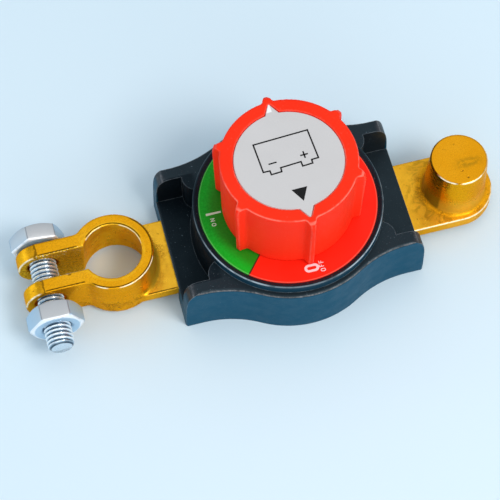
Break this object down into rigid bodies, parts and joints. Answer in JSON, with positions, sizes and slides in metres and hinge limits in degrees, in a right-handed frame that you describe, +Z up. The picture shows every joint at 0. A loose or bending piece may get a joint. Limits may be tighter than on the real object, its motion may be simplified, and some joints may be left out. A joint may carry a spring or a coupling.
{
  "type": "battery terminal disconnect switch",
  "caption": "Quarter-turn rotary disconnect switch for a vehicle battery: a split ring clamps on the battery post, a tapered post takes the cable clamp, and a ribbed knob opens the circuit.",
  "frame": {"origin": "knob axis at the underside of the housing, which is the face that it rests on", "axes": "+X from the clamp ring towards the tapered post, +Y away from the viewer, +Z up along the knob axis"},
  "size_m": [0.1412, 0.0576, 0.0467],
  "materials": {
    "housing_plastic": "fine moulded texture, worn edges",
    "base_plastic": "moulded",
    "seal_rubber": "plain",
    "steel_screws": "zinc plated",
    "cast_brass": "as cast, bright",
    "contact_copper": "copper",
    "rotor_plastic": "natural nylon",
    "contact_silver": "silver faced",
    "spring_steel": "spring steel",
    "white_plastic": "low friction plastic",
    "dial_red": "printed red and green",
    "knob_red": "satin moulded",
    "disc_grey": "printed insert",
    "zinc_steel": "bright zinc plated"
  },
  "bodies": {
    "base": {"housing": "housing_plastic", "base_plate": "base_plastic", "base_gasket": "seal_rubber", "base_screws": "steel_screws", "terminal_screws": "steel_screws", "clamp_terminal": "cast_brass", "post_terminal": "cast_brass", "fixed_contact_left": "contact_copper", "fixed_contact_right": "contact_copper", "dial_plate": "dial_red"},
    "knob_group": {"knob": "knob_red", "knob_disc": "disc_grey", "knob_washer": "steel_screws", "knob_screw": "steel_screws", "rotor": "rotor_plastic", "contact_bridge": "contact_copper", "bridge_tips": "contact_silver", "spring_seat": "spring_steel", "contact_spring": "spring_steel", "thrust_washer": "white_plastic", "shaft_seal": "seal_rubber", "retaining_clip": "spring_steel"},
    "bolt": {"clamp_bolt": "zinc_steel"},
    "nut": {"clamp_nut": "zinc_steel"}
  },
  "joints": [
    {"name": "knob_turn", "type": "hinge", "parent": "base", "child": "knob_group", "pos_m": [0, 0, 0.03], "axis": [0, 0, 1], "range_deg": [-90, 0]},
    {"name": "bolt_turn", "type": "hinge", "parent": "base", "child": "bolt", "pos_m": [-0.0712, 0, 0.01024], "axis": [0, -1, 0], "range_deg": [-1584, 763.2]},
    {"name": "nut_travel", "type": "slide", "parent": "base", "child": "nut", "axis": [0, 1, 0], "range_m": [-0.0055, 0.00265]}
  ],
  "couplings": [
    {"joint": "nut_travel", "follows": "bolt_turn", "m_per_rad": 0.00019894}
  ]
}
